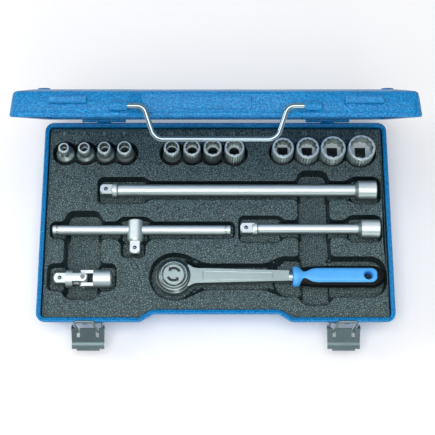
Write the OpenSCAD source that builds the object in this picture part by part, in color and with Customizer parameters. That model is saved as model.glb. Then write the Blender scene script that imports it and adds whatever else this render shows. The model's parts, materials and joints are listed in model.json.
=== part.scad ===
// Three-eighths drive socket set in a pressed steel carrying case.
// X runs along the case, Y from front to back and Z up. The origin is the middle of the underside.
// Heights of the case and the tray's contents are given from the rim of the base.

/* [Case] */
// Width of the case over its rims
case_w = 314; // [314:1:320]
// Depth of the case over its rims
case_d = 188; // [188:1:192]
// Height of the base, from the underside to the rim
base_h = 34; // [34:1:45]
// Height of the lid, from its rim to its top
lid_h = 22; // [20:1:40]
// Thickness of the case's steel sheet
sheet = 1; // [0.8:0.1:1.2]
// Outside radius of the case's upright corners
corner_r = 8; // [6:0.5:10]
// Angle between the open lid and its closed place
lid_open = 67; // [60:1:90]
// Depth of the bay in the front of the base and the lid, where the handle hangs
bay_depth = 7; // [6:0.5:8]
// Half width of the bay's straight part
bay_half_w = 55; // [54:0.5:57]
// Width of the bay's slope at each end
bay_slope = 11; // [8:0.5:14]
// Width of the rolled rim
rim_w = 4; // [3:0.5:4.5]
// Lean of the base's walls from upright
base_lean = 14; // [10:1:14]
// Lean of the lid's walls from upright
lid_lean = 9; // [5:1:10]

/* [Case fittings] */
// Distance of each hinge from the middle of the case
hinge_x = 103; // [95:1:110]
// Width of a hinge
hinge_w = 40; // [36:1:44]
// Distance of each latch from the middle of the case
latch_x = 112; // [108:1:116]
// Angle between the open latch lever and its closed place
lever_open = 55; // [50:1:60]
// Diameter of the carrying handle's wire
bail_d = 4; // [3.6:0.1:4.4]
// Distance from the carrying handle's pivot to its grip
bail_reach = 25; // [24:0.5:26]

/* [Tray] */
// Depth of the tray's top below the rim
tray_drop = 4; // [3:0.5:5]
// Thickness of the moulded sheet
tray_t = 1; // [0.8:0.1:1.2]

/* [Tools] */
// Side of the male drive square
drive_sq = 9.5; // [9.4:0.05:9.55]
// Length of a socket
socket_l = 28; // [26:0.5:30]
// Length of the long extension bar
long_ext_l = 250; // [246:1:251]
// Length of the short extension bar
short_ext_l = 125; // [122:1:125]
// Length of the sliding handle's rod
tbar_l = 160; // [156:1:162]
// Outside radius of the ratchet's head
head_r = 16; // [15.5:0.25:17]
// Number of teeth on the ratchet's gear
gear_teeth = 36; // [24:12:48]

/* [Hidden] */
$fn = 48;
clear = 0.05;
female_sq = drive_sq + 0.2;

// Case: the hinge line lies just behind the back wall, level with the rim
hinge_r = 2.2;
hinge_y = case_d / 2 + hinge_r + 0.2;
hinge_pin_r = 1;
lid_gap = 0.3;
rim_h = 3;
edge_r = 3;
least_corner_r = 5;
nub_x = 134;
nub_y = 62;

// Latch, seen in section: [distance out from the front wall, height from the rim]
wall_y = -case_d / 2;
lever_pivot = [3.4, -11];
latch_pin_r = 1;
loop_r = 1;
trunnion_arm = 4;
trunnion_lag = 8;
loop_reach = 32.2;
loop_half_w = 8.3;
loop_lean = 2;
loop_bend_r = 2.5;
loop_hook_r = 1.5;
lever_half_w = 14.2;
ear_half_w = 12.4;
latch_t = 0.9;

// Carrying handle, seen in section as the latch is
bail_pivot = [3.2, 8.6];
bail_leg_x = 50.4;
bail_leg_lean = 18;
bail_top_bend = 7;
bail_low_bend = 9;
bail_end_x = 79;
lug_x = 66.5;
lug_w = 13;

// Tray: margin of its outline inside the case, and the pockets' clearance round a socket
tray_margin = 2.6;
tray_corner_r = 7;
pocket_gap = 2.9;
socket_floor = -18.2;
ext_axis_z = -5;

// Sockets: [size across flats, x, working end diameter, drive end diameter]
socket_y = 65;
small_sockets = [
    [6, -137.8, 10, 17], [7, -119.5, 11, 17], [8, -101.2, 12, 17], [9, -82.9, 13.2, 17],
    [10, -40, 14.5, 17], [11, -21.6, 15.8, 17], [12, -2.8, 17, 17.4], [13, 16.9, 18.3, 18.3],
];
large_sockets = [
    [14, 61, 20, 20], [15, 83.4, 21, 21], [17, 106.4, 23, 23], [19, 132.2, 25, 25],
];
sockets = concat(small_sockets, large_sockets);

// Tools: where each lies, and the size of its parts
long_ext_pos = [-104.6, 29];
long_ext_r = 5.5;
short_ext_pos = [21.9, -7.8];
short_ext_r = 4.5;
drive_l = 10.6;
collar_l = 5;
ball_r = 1.75;
ball_out = 3.6;
tbar_x = -146.4;
tbar_y = -8.9;
tbar_r = 4.5;
tbar_head_x = -72;
tbar_head_r = 7.5;
joint_x = -117;
joint_y = -54.3;
joint_r = 8;
joint_gap = 4.2;
joint_reach = 9.2;
cross_half = 4.05;
long_pin_r = 2;
short_pin_r = 1.5;

// Ratchet
head_pos = [-37, -52];
head_top = 1.5;
head_bottom = -13;
disc_r = 9.75;
gear_r = 9.4;
gear_root_r = 8.6;
cavity_r = 13.4;
pawl_angle = 50;
pawl_pivot_x = 9 / cos(pawl_angle);
pawl_rock = 4;
grip_start = 105;
grip_axis_z = -6;
core_half_w = 7;
core_half_h = 7.5;
core_end = 181;
sleeve_half_w = 9.7;
sleeve_half_h = 6.6;
sleeve_end = 186;
hang_hole_x = 171.7;
hang_hole_r = 3.5;

// ---------- shared shapes ----------

function arc(centre, r, from, to, steps) =
    [for (i = [0 : steps]) centre + r * [cos(from + (to - from) * i / steps),
                                         sin(from + (to - from) * i / steps)]];

function rounded(low, high, r, steps = 4) = concat(
    arc([high.x - r, low.y + r], r, -90, 0, steps),
    arc([high.x - r, high.y - r], r, 0, 90, steps),
    arc([low.x + r, high.y - r], r, 90, 180, steps),
    arc([low.x + r, low.y + r], r, 180, 270, steps));

// Outline of the case, moved inwards by inset
function case_outline(inset, least_r = least_corner_r) = rounded(
    [-case_w / 2 + inset, -case_d / 2 + inset],
    [case_w / 2 - inset, case_d / 2 - inset], max(corner_r - inset, least_r), 6);

// Outline of the bay in the front wall, moved inwards by inset
function bay_outline(inset) =
    let (shift = inset * tan(atan(bay_depth / bay_slope) / 2),
         foot = bay_half_w + bay_slope + shift,
         top = bay_half_w + shift,
         beyond = 5,
         out = beyond * bay_slope / bay_depth)
    [[-foot - out, wall_y + inset - beyond], [foot + out, wall_y + inset - beyond],
     [top, wall_y + bay_depth + inset], [-top, wall_y + bay_depth + inset]];

module at_rim() translate([0, 0, base_h]) children();

// Turns what is drawn for a closed lid to the open lid's place
module on_lid()
    translate([0, hinge_y, base_h]) rotate([-lid_open, 0, 0]) translate([0, -hinge_y, 0])
        children();

// Extrudes a section drawn as [out from the front wall, height] along X, centred on x = 0
module along_front(length)
    translate([-length / 2, wall_y, 0]) rotate([90, 0, 90]) linear_extrude(length)
        mirror([1, 0]) children();

// A rod from one X to another at a place in the front wall's section
module front_rod(r, x0, x1, place)
    translate([x0, wall_y - place.x, place.y]) rotate([0, 90, 0]) cylinder(r = r, h = x1 - x0);

// Part of a ring of wire, from +X towards +Z in the XZ plane
module bend(bend_r, wire_r, turn = 90)
    rotate([90, 0, 0]) rotate_extrude(angle = turn) translate([bend_r, 0]) circle(r = wire_r);

// A cylinder along X
module x_rod(x0, x1, r) translate([x0, 0, 0]) rotate([0, 90, 0]) cylinder(r = r, h = x1 - x0);

// A square bar along X with a chamfered end towards -X
module x_square_end(x0, x1, side) {
    chamfer = 1;
    intersection() {
        translate([x0, -side / 2, -side / 2]) cube([x1 - x0, side, side]);
        rotate([0, 90, 0]) rotate_extrude()
            polygon([[0, x0], [side / 2, x0], [side * 0.66, x0 + side * 0.16 + chamfer / 2],
                     [side * 0.66, x1], [0, x1]]);
    }
}

// The blind hole for a sprung ball, upwards along Z
module ball_hole() translate([0, 0, -3]) cylinder(r = ball_r + clear, h = 10);

// The ball and the spring that holds it out, upwards along Z
module detent_ball() translate([0, 0, ball_out]) sphere(r = ball_r);
module detent_spring() coil(1.25, 0.2, 4, 3.7, -2.95);

// A coil spring along Z: mean radius, wire radius, turns, height between end centres, foot
module coil(r, wire, turns, height, foot) {
    sides = 6;
    per_turn = 10;
    rings = turns * per_turn;
    points = [for (i = [0 : rings]) for (j = [0 : sides - 1])
        let (a = 360 * i / per_turn, b = 360 * j / sides, rr = r + wire * cos(b))
            [rr * cos(a), rr * sin(a), foot + wire + height * i / rings + wire * sin(b)]];
    walls = [for (i = [0 : rings - 1]) for (j = [0 : sides - 1])
        let (k = (j + 1) % sides)
            [i * sides + j, (i + 1) * sides + j, (i + 1) * sides + k, i * sides + k]];
    first = [for (j = [0 : sides - 1]) j];
    last = [for (j = [sides - 1 : -1 : 0]) rings * sides + j];
    polyhedron(points, concat([first], walls, [last]));
}

// ---------- case ----------

// How far a leaning wall has moved in at a depth below the rim's lower edge
function lean_in(lean, depth) = max(depth, 0) * tan(lean);

// A pan's solid below z = 0, with leaning walls and a chamfered foot. Over is how far it rises.
module pan(inset, depth, lean, over = 0) {
    film = 0.01;
    difference() {
        hull() {
            pan_layer(over, inset - over * tan(lean), film);
            pan_layer(edge_r - depth, inset + lean_in(lean, depth - edge_r), film);
            pan_layer(film - depth, inset + lean_in(lean, depth - edge_r) + edge_r, film);
        }
        hull() for (z = [2, -depth - 2]) translate([0, 0, z]) linear_extrude(film)
            polygon(bay_outline(inset - z * tan(lean)));
    }
}

module pan_layer(top, inset, thick)
    translate([0, 0, top - thick]) linear_extrude(thick) polygon(case_outline(inset));

module rim_band(z0, z1)
    translate([0, 0, z0]) linear_extrude(z1 - z0) difference() {
        difference() {
            polygon(case_outline(0));
            polygon(bay_outline(0));
        }
        difference() {
            polygon(case_outline(rim_w));
            polygon(bay_outline(rim_w));
        }
    }

module rivet_places()
    for (side = [-1, 1]) for (x = [-4.5, 4.5])
        translate([side * latch_x + x, wall_y + lean_in(base_lean, 21 - rim_h), -21])
            rotate([90 + base_lean, 0, 0]) children();

module base_shell()
    color([0.10, 0.42, 0.70]) at_rim() {
        difference() {
            translate([0, 0, -rim_h]) difference() {
                pan(0, base_h - rim_h, base_lean);
                pan(sheet, base_h - rim_h - sheet, base_lean, 1);
            }
            rivet_places() translate([0, 0, -5]) cylinder(r = 1.5, h = 10);
        }
        rim_band(-rim_h, 0);
    }

// The lid is drawn upside down as a pan and turned over, so its rim is at lid_gap
module lid_shell()
    color([0.12, 0.45, 0.74]) on_lid() {
        translate([0, 0, lid_gap + rim_h]) mirror([0, 0, 1]) difference() {
            pan(0, lid_h - lid_gap - rim_h, lid_lean);
            pan(sheet, lid_h - lid_gap - rim_h - sheet, lid_lean, 1);
        }
        rim_band(lid_gap, lid_gap + rim_h);
        for (x = [-nub_x, nub_x]) for (y = [-nub_y, nub_y]) translate([x, y, lid_h])
            cylinder(r1 = 5, r2 = 4, h = 1.2);
    }

module hinge_knuckles(from, to, bore)
    translate([from, hinge_y, 0]) rotate([0, 90, 0]) difference() {
        cylinder(r = hinge_r, h = to - from);
        translate([0, 0, -1]) cylinder(r = bore, h = to - from + 2);
    }

module hinge_leaf(knuckles, bore, side)
    for (k = knuckles) {
        hinge_knuckles(k[0], k[1], bore);
        difference() {
            translate([k[0], case_d / 2, side > 0 ? 0.3 : -5]) cube([k[1] - k[0], 1, 4.7]);
            translate([k[0] - 1, hinge_y, 0]) rotate([0, 90, 0])
                cylinder(r = bore + 0.4, h = k[1] - k[0] + 2);
        }
    }

// The part of a leaf that lies on the leaning back wall, from a height to its free edge
module hinge_plate(z0, z1, in)
    translate([-hinge_w / 2, case_d / 2, 0]) rotate([90, 0, 90]) linear_extrude(hinge_w)
        polygon([[0.02, z0], [1, z0], [1.02 - in, z1], [0.02 - in, z1]]);

module hinge_leaves_base()
    color([0.09, 0.38, 0.65]) at_rim() for (x = [-hinge_x, hinge_x]) translate([x, 0, 0]) {
        hinge_leaf([[-6.5, 6.5]], hinge_pin_r, -1);
        hinge_plate(-4.6, -14, lean_in(base_lean, 14 - rim_h));
    }

module hinge_leaves_lid()
    color([0.09, 0.38, 0.65]) on_lid() for (x = [-hinge_x, hinge_x]) translate([x, 0, 0]) {
        hinge_leaf([[-hinge_w / 2, -6.8], [6.8, hinge_w / 2]], hinge_pin_r + clear, 1);
        hinge_plate(4.6, 12.6, lean_in(lid_lean, 12.6 - rim_h - lid_gap));
    }

module hinge_pins()
    color([0.55, 0.56, 0.58]) at_rim() for (x = [-hinge_x, hinge_x])
        translate([x - hinge_w / 2, hinge_y, 0]) rotate([0, 90, 0])
            cylinder(r = hinge_pin_r, h = hinge_w);

// How far the lid's wall has moved in at a height above the lid's rim
function lid_wall_in(z) = lean_in(lid_lean, z - rim_h - lid_gap) - 0.02;

// Ridges that the latch loops hook over
module latch_keepers()
    color([0.14, 0.48, 0.78]) on_lid() for (x = [-latch_x, latch_x]) translate([x, 0, 0])
        along_front(29) polygon([[-lid_wall_in(10.4), 10.4], [1.6, 10.8], [2.6, 12],
                                 [2.6, 15.6], [2, 16], [-lid_wall_in(15.4), 15.4]]);

module lug_foot(z0, z1)
    polygon([[-lid_wall_in(z0), z0], [bail_pivot.x, z0], [bail_pivot.x, z1],
             [-lid_wall_in(z1), z1]]);

module handle_lugs()
    color([0.11, 0.42, 0.70]) on_lid() for (side = [-1, 1])
        translate([side * (lug_x + lug_w / 2), 0, 0]) along_front(lug_w) difference() {
            union() {
                lug_foot(bail_pivot.y - bail_pivot.x, bail_pivot.y + bail_pivot.x);
                translate(bail_pivot) circle(r = bail_pivot.x);
            }
            translate(bail_pivot) circle(r = bail_d / 2 + clear);
        }

// Half of the wire runs from its end in a lug, over two bends and a leaning leg, to the grip
module carry_handle()
    color([0.80, 0.80, 0.82]) on_lid() for (side = [0, 1]) mirror([side, 0, 0])
        translate([0, wall_y - bail_pivot.x, bail_pivot.y]) {
            wire = bail_d / 2;
            turn = 90 - bail_leg_lean;
            rise = 1 - sin(bail_leg_lean);
            leg_top = -bail_top_bend * rise;
            leg_low = bail_low_bend * rise - bail_reach;
            half = (leg_top - leg_low) * tan(bail_leg_lean) / 2;
            top_x = bail_leg_x + half + bail_top_bend * cos(bail_leg_lean);
            low_x = bail_leg_x - half - bail_low_bend * cos(bail_leg_lean);
            x_rod(top_x, bail_end_x, wire);
            translate([top_x, 0, -bail_top_bend]) rotate([0, -90, 0])
                bend(bail_top_bend, wire, turn);
            // the leg is a hair thinner than its bends and ends inside them
            translate([bail_leg_x - half, 0, leg_low]) rotate([0, bail_leg_lean, 0])
                translate([0, 0, -0.1])
                    cylinder(r = wire - 0.01, h = (leg_top - leg_low) / cos(bail_leg_lean) + 0.2);
            translate([low_x, 0, bail_low_bend - bail_reach]) rotate([0, 90, 0])
                bend(bail_low_bend, wire, turn);
            translate([0, 0, -bail_reach]) x_rod(0, low_x, wire);
        }

// ---------- latches ----------

function base_wall_in(z) = lean_in(base_lean, -z - rim_h) - 0.02;

// Section of the plate that lies on the leaning front wall
module bracket_plate()
    polygon([[-base_wall_in(-4), -4], [latch_t - base_wall_in(-4), -4],
             [latch_t - base_wall_in(-24), -24], [-base_wall_in(-24), -24]]);

module ear_foot(z0, z1)
    polygon([[-base_wall_in(z0), z0], [lever_pivot.x, z0], [lever_pivot.x, z1],
             [-base_wall_in(z1), z1]]);

module latch_brackets()
    color([0.66, 0.67, 0.69]) at_rim() for (side = [-1, 1]) translate([side * latch_x, 0, 0])
        difference() {
            union() {
                along_front(2 * ear_half_w) bracket_plate();
                for (x = [-1, 1]) translate([x * (ear_half_w - latch_t / 2), 0, 0])
                    along_front(latch_t) union() {
                        ear_foot(lever_pivot.y - 2.5, lever_pivot.y + 2.5);
                        translate(lever_pivot) circle(r = 2.5);
                    }
            }
            front_rod(latch_pin_r, -20, 20, lever_pivot);
            translate([-side * latch_x, 0, 0]) rivet_places() translate([0, 0, -5])
                cylinder(r = 1.5, h = 10);
        }

module latch_rivets()
    color([0.72, 0.73, 0.75]) at_rim() rivet_places() {
        translate([0, 0, -sheet - 1]) cylinder(r = 2.4, h = 1);
        translate([0, 0, -sheet]) cylinder(r = 1.5, h = sheet + latch_t);
        translate([0, 0, latch_t]) cylinder(r1 = 2.6, r2 = 1.7, h = 1);
    }

module latch_pins()
    color([0.72, 0.73, 0.75]) at_rim() for (x = [-latch_x, latch_x]) for (side = [0, 1])
        translate([x, 0, 0]) mirror([side, 0, 0])
            front_rod(latch_pin_r, ear_half_w - latch_t - 0.5, lever_half_w + 0.6, lever_pivot);

// Where the loop's ends sit in the lever, measured from the lever's pivot when closed
trunnion = trunnion_arm * [sin(-trunnion_lag), -cos(trunnion_lag)];

// Turns what is drawn for a closed lever to the open lever's place
module on_lever()
    translate([0, wall_y - lever_pivot.x, base_h + lever_pivot.y]) rotate([-lever_open, 0, 0])
        children();

// Extrudes a section drawn as [out, up] from the lever's pivot along X, centred on x = 0
module lever_section(length)
    translate([-length / 2, 0, 0]) rotate([90, 0, 90]) linear_extrude(length)
        mirror([1, 0]) children();

// A pressed channel: a front plate slotted for the loop's legs, two cheeks and a stepped lip
module latch_lever(x)
    color([0.70, 0.71, 0.73]) translate([x, 0, 0]) on_lever() {
        cheek_r = 2.8;
        cheek_t = 1;
        plate_out = 4.1;
        plate_top = 1.5;
        for (side = [-1, 1]) translate([side * (lever_half_w - cheek_t / 2), 0, 0])
            lever_section(cheek_t) difference() {
                polygon(concat(arc([0, 0], cheek_r, 50, 180, 9),
                    [[-2.5, -4.5], [0.5, -8.5], [2.6, -12.4], [plate_out, -12.4],
                    [plate_out, plate_top]]));
                circle(r = latch_pin_r + clear);
                translate(trunnion) circle(r = loop_r + clear);
            }
        difference() {
            lever_section(2 * lever_half_w) polygon([[plate_out - 1, plate_top],
                [plate_out, plate_top], [plate_out, -11.8], [5.5, -13.9], [5.9, -17.1],
                [4.9, -17.2], [4.5, -14.2], [plate_out - 1, -12.2]]);
            for (side = [-1, 1]) translate([side * loop_half_w, 0, 0])
                lever_section(2.8) translate([plate_out - 2, -7.2]) square([3, 10]);
        }
        lever_section(20) polygon([[4.9, -17], [5.88, -17], [6.1, -18.7], [5.1, -18.8]]);
    }

module latch_lever_left() latch_lever(-latch_x);
module latch_lever_right() latch_lever(latch_x);

// The loop stands nearly upright, with its ends in the lever's cheeks
module latch_loop(x)
    color([0.76, 0.77, 0.79]) translate([x, 0, 0]) on_lever()
        translate([0, -trunnion.x, trunnion.y]) rotate([lever_open + loop_lean, 0, 0])
            for (side = [0, 1]) mirror([side, 0, 0]) {
                x_rod(loop_half_w + loop_bend_r, lever_half_w, loop_r);
                translate([loop_half_w + loop_bend_r, 0, loop_bend_r])
                    mirror([0, 0, 1]) mirror([1, 0, 0]) bend(loop_bend_r, loop_r);
                translate([loop_half_w, 0, loop_bend_r])
                    cylinder(r = loop_r, h = loop_reach - loop_bend_r - loop_hook_r);
                translate([loop_half_w, loop_hook_r, loop_reach - loop_hook_r])
                    rotate([0, 0, -90]) bend(loop_hook_r, loop_r);
                translate([loop_half_w - loop_hook_r, loop_hook_r, loop_reach])
                    rotate([-90, 0, 0]) bend(loop_hook_r, loop_r);
                translate([0, 2 * loop_hook_r, loop_reach])
                    x_rod(0, loop_half_w - loop_hook_r, loop_r);
            }

module latch_loop_left() latch_loop(-latch_x);
module latch_loop_right() latch_loop(latch_x);

// ---------- tray ----------

// A pocket's prism from its floor to above the tray, grown sideways and downwards by grow
module pocket(low, high, depth, grow, r = 5)
    translate([0, 0, -depth - grow]) linear_extrude(depth - tray_drop + (grow > 0 ? grow : 1))
        polygon(rounded(low - [grow, grow], high + [grow, grow], r + grow));

module round_pocket(centre, pocket_r, depth, grow)
    translate([centre.x, centre.y, -depth - grow])
        cylinder(r = pocket_r + grow, h = depth - tray_drop + (grow > 0 ? grow : 1));

module tray_pockets(grow) {
    for (s = sockets)
        round_pocket([s[1], socket_y], s[3] / 2 + pocket_gap, -socket_floor, grow);
    // long extension: drive end, bar and socket end
    pocket([-107, 16.5], [-62.5, 41.5], 14, grow);
    pocket([-70, 20.4], [125, 37.6], 13, grow);
    pocket([121, 16], [149.3, 42], 14.2, grow, 7);
    // sliding handle: rod, head and drive square
    pocket([-148.4, -17], [18, -1.2], 11, grow);
    pocket([-87, -20], [-59, 3.3], 13, grow);
    pocket([-84.4, -34.6], [-63, -10], 12.6, grow);
    // short extension: drive end, bar and socket end
    pocket([20, -20.4], [59.5, 4.4], 12, grow);
    pocket([50, -15.8], [124, 0.2], 12, grow);
    pocket([118, -20.2], [148.6, 5], 14.2, grow, 6);
    // universal joint
    pocket([-149, -65], [-88.3, -40.5], 13.5, grow);
    // ratchet: head with a well for its square, shank and grip
    round_pocket(head_pos, 21.6, -head_bottom + 0.4, grow);
    round_pocket(head_pos, 8.6, 27, grow);
    pocket([-30, -64], [60, -40.6], 13, grow);
    pocket([50, -70.6], [151, -34], 15.8, grow, 12);
    // finger channels
    pocket([-135, -73], [-102.7, 9], 18, grow, 8);
    pocket([74, -78.4], [102, 48], 18, grow, 8);
}

module tray()
    color([0.13, 0.14, 0.15]) at_rim() {
        skirt = (tray_margin - sheet - 0.1) / tan(base_lean) + rim_h - tray_drop;
        difference() {
            union() {
                translate([0, 0, -tray_drop - tray_t]) linear_extrude(tray_t) difference() {
                    polygon(case_outline(tray_margin, tray_corner_r));
                    polygon(bay_outline(tray_margin));
                }
                translate([0, 0, -tray_drop - skirt]) linear_extrude(skirt) difference() {
                    difference() {
                        polygon(case_outline(tray_margin, tray_corner_r));
                        polygon(bay_outline(tray_margin));
                    }
                    difference() {
                        polygon(case_outline(tray_margin + tray_t, tray_corner_r - tray_t));
                        polygon(bay_outline(tray_margin + tray_t));
                    }
                }
                tray_pockets(tray_t);
            }
            tray_pockets(0);
        }
    }

// ---------- sockets ----------

// A socket standing on its drive end: size across flats, working and drive end diameters
module socket(s) {
    size = s[0];
    work_r = s[2] / 2;
    drive_r = s[3] / 2;
    grip_depth = min(13, 5 + size / 2);
    square_depth = size < 14 ? 10.5 : socket_l - grip_depth + 0.1;
    cone_from = 12.5;
    cone_to = 17;
    flats_r = (size + 0.15) / 2 / cos(30);
    relief_r = min(4.6, size / 2 - 0.3);
    color([0.72, 0.72, 0.72]) at_rim() translate([s[1], socket_y, socket_floor + 0.2])
        difference() {
            rotate_extrude() polygon([[0, 0], [drive_r - 0.8, 0], [drive_r, 0.8],
                [drive_r, cone_from], [work_r, cone_to], [work_r, socket_l - 0.7],
                [work_r - 0.7, socket_l], [0, socket_l]]);
            translate([-female_sq / 2, -female_sq / 2, -1])
                cube([female_sq, female_sq, square_depth + 1]);
            cylinder(r = relief_r, h = socket_l);
            for (turn = [0, 30]) rotate([0, 0, turn]) translate([0, 0, socket_l - grip_depth])
                cylinder(r = flats_r, h = grip_depth + 1, $fn = 6);
        }
}

module socket_06() socket(sockets[0]);
module socket_07() socket(sockets[1]);
module socket_08() socket(sockets[2]);
module socket_09() socket(sockets[3]);
module socket_10() socket(sockets[4]);
module socket_11() socket(sockets[5]);
module socket_12() socket(sockets[6]);
module socket_13() socket(sockets[7]);
module socket_14() socket(sockets[8]);
module socket_15() socket(sockets[9]);
module socket_17() socket(sockets[10]);
module socket_19() socket(sockets[11]);

// ---------- extension bars ----------

// A bar along +X from its drive square: length, shank radius, socket end radius
module extension(length, shank_r, end_r) {
    collar_end = drive_l + collar_l;
    flare = length - 19.5;
    color([0.72, 0.72, 0.72]) difference() {
        union() {
            x_square_end(0, drive_l + 2, drive_sq);
            rotate([0, 90, 0]) rotate_extrude() polygon([[0, drive_l], [shank_r + 0.6, drive_l],
                [shank_r + 1.3, drive_l + 0.7], [shank_r + 1.3, collar_end - 0.7],
                [shank_r, collar_end + 0.6], [shank_r, flare], [end_r, flare + 3],
                [end_r, length - 0.7], [end_r - 0.7, length], [0, length]]);
        }
        translate([length - 11, -female_sq / 2, -female_sq / 2])
            cube([12, female_sq, female_sq]);
        translate([5.2, 0, 0]) ball_hole();
    }
}

module place_long() at_rim() translate([long_ext_pos.x, long_ext_pos.y, ext_axis_z]) children();
module place_short() at_rim() translate([short_ext_pos.x, short_ext_pos.y, ext_axis_z]) children();

module extension_long() place_long() extension(long_ext_l, long_ext_r, 8.9);
module extension_long_ball() color([0.8, 0.8, 0.8]) place_long() translate([5.2, 0, 0]) detent_ball();
module extension_long_spring() color([0.6, 0.6, 0.6]) place_long() translate([5.2, 0, 0]) detent_spring();
module extension_short() place_short() extension(short_ext_l, short_ext_r, 8.5);
module extension_short_ball() color([0.8, 0.8, 0.8]) place_short() translate([5.2, 0, 0]) detent_ball();
module extension_short_spring() color([0.6, 0.6, 0.6]) place_short() translate([5.2, 0, 0]) detent_spring();

// ---------- sliding handle ----------

module place_tbar() at_rim() translate([0, tbar_y, ext_axis_z]) children();

module tbar_rod()
    color([0.72, 0.72, 0.72]) place_tbar() translate([tbar_x, 0, 0]) rotate([0, 90, 0])
        rotate_extrude() polygon([[0, 0], [tbar_r - 0.8, 0], [tbar_r, 0.8], [tbar_r, 3.5],
            [tbar_r - 0.5, 4], [tbar_r - 0.5, 5], [tbar_r, 5.5], [tbar_r, tbar_l - 5.5],
            [tbar_r - 0.5, tbar_l - 5], [tbar_r - 0.5, tbar_l - 4], [tbar_r, tbar_l - 3.5],
            [tbar_r, tbar_l - 0.8], [tbar_r - 0.8, tbar_l], [0, tbar_l]]);

// The head's own axis: +X runs from the drive square's tip to the closed end
module tbar_head_frame() place_tbar() translate([tbar_head_x, -22.9, 0]) rotate([0, 0, 90]) children();

module tbar_head()
    color([0.72, 0.72, 0.72]) tbar_head_frame() difference() {
        union() {
            x_square_end(0, 14, drive_sq);
            rotate([0, 90, 0]) rotate_extrude() polygon([[0, 11.2], [tbar_head_r - 1.2, 11.2],
                [tbar_head_r, 13.6], [tbar_head_r, 30.6], [tbar_head_r - 1, 31.6], [0, 31.6]]);
        }
        translate([22.9, 0, 0]) rotate([90, 0, 0])
            cylinder(r = tbar_r + clear, h = 40, center = true);
        translate([5.2, 0, 0]) ball_hole();
    }

module tbar_ball() color([0.8, 0.8, 0.8]) tbar_head_frame() translate([5.2, 0, 0]) detent_ball();
module tbar_spring() color([0.6, 0.6, 0.6]) tbar_head_frame() translate([5.2, 0, 0]) detent_spring();

// ---------- universal joint ----------

module place_joint() at_rim() translate([joint_x, joint_y, ext_axis_z]) children();

// Half of the joint towards +X, with ears above and below the middle: its body ends at length
module joint_fork(length, pin_r) {
    ear_r = cross_half - 0.45;
    difference() {
        intersection() {
            rotate([0, 90, 0]) translate([0, 0, -ear_r]) cylinder(r = joint_r, h = length + ear_r);
            union() {
                for (side = [-1, 1]) translate([0, 0, side * (joint_gap + joint_r) / 2]) {
                    cylinder(r = ear_r, h = joint_r - joint_gap, center = true);
                    translate([0, -ear_r, -(joint_r - joint_gap) / 2])
                        cube([joint_reach + 1, 2 * ear_r, joint_r - joint_gap]);
                }
                translate([joint_reach, -joint_r, -joint_r])
                    cube([length - joint_reach, 2 * joint_r, 2 * joint_r]);
            }
        }
        cylinder(r = pin_r + clear, h = 4 * joint_r, center = true);
    }
}

module joint_socket_half()
    color([0.70, 0.70, 0.70]) place_joint() difference() {
        rotate([90, 0, 0]) joint_fork(24.1, short_pin_r);
        translate([13.1, -female_sq / 2, -female_sq / 2]) cube([12, female_sq, female_sq]);
    }

module joint_cross()
    color([0.62, 0.62, 0.63]) place_joint() difference() {
        intersection() {
            cube(2 * cross_half, center = true);
            rotate([0, 0, 45]) cube([10, 10, 10], center = true);
        }
        cylinder(r = long_pin_r + clear, h = 20, center = true);
        rotate([90, 0, 0]) cylinder(r = short_pin_r + clear, h = 20, center = true);
    }

module joint_pin_long()
    color([0.55, 0.55, 0.56]) place_joint() difference() {
        cylinder(r = long_pin_r, h = 2 * joint_r - 0.8, center = true);
        rotate([90, 0, 0]) cylinder(r = short_pin_r, h = 20, center = true);
    }

module joint_pin_short()
    color([0.55, 0.55, 0.56]) place_joint() rotate([90, 0, 0])
        cylinder(r = short_pin_r, h = 2 * joint_r - 0.8, center = true);

module joint_drive_half()
    color([0.72, 0.72, 0.72]) place_joint() difference() {
        union() {
            mirror([1, 0, 0]) joint_fork(15.2, long_pin_r);
            x_square_end(-25.7, -14, drive_sq);
        }
        translate([-20.5, 0, 0]) ball_hole();
    }

module joint_ball() color([0.8, 0.8, 0.8]) place_joint() translate([-20.5, 0, 0]) detent_ball();
module joint_spring() color([0.6, 0.6, 0.6]) place_joint() translate([-20.5, 0, 0]) detent_spring();

// ---------- ratchet ----------

module place_ratchet() at_rim() translate([head_pos.x, head_pos.y, 0]) children();

module ratchet_body()
    color([0.72, 0.72, 0.72]) place_ratchet() difference() {
        union() {
            rotate_extrude() polygon([[0, head_bottom], [head_r - 1, head_bottom],
                [head_r, head_bottom + 1], [head_r, -3], [head_r - 2.4, -0.4],
                [head_r - 3.4, -0.4], [head_r - 4.2, head_top], [0, head_top]]);
            translate([0, 0, -9]) linear_extrude(7.5)
                polygon([[0, -7.4], [18, -6.8], [102, -4.6], [102, 4.6], [18, 6.8], [0, 7.4]]);
            translate([0, 0, grip_axis_z]) {
                x_rod(101.5, 104.6, 5.2);
                x_rod(104.6, 158, 3.6);
            }
        }
        // blank sunk panel along the shank
        translate([0, 0, -1.9]) linear_extrude(2)
            polygon([[26, -3.6], [86, -2.4], [86, 2.4], [26, 3.6]]);
        // chamber for the gear and the pawl, open downwards
        translate([0, 0, head_bottom - 1]) cylinder(r = gear_r + 0.35, h = 11.5);
        translate([0, 0, -11]) pawl_chamber();
        translate([0, 0, head_bottom - 1]) cylinder(r = 11.6, h = 2.6);
        // recess for the selector and the hole for its spindle
        translate([0, 0, -0.6]) cylinder(r = disc_r + 0.15, h = 5);
        cylinder(r = 3 + clear, h = 10, center = true);
        translate([pawl_pivot_x, 0, -12]) cylinder(r = 1.2, h = 10);
    }

module pawl_chamber()
    linear_extrude(8.5) {
        polygon(concat([[0, 0]], arc([0, 0], cavity_r, -65, 65, 16)));
        translate([pawl_pivot_x, 0]) circle(r = 2.3);
    }

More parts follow.
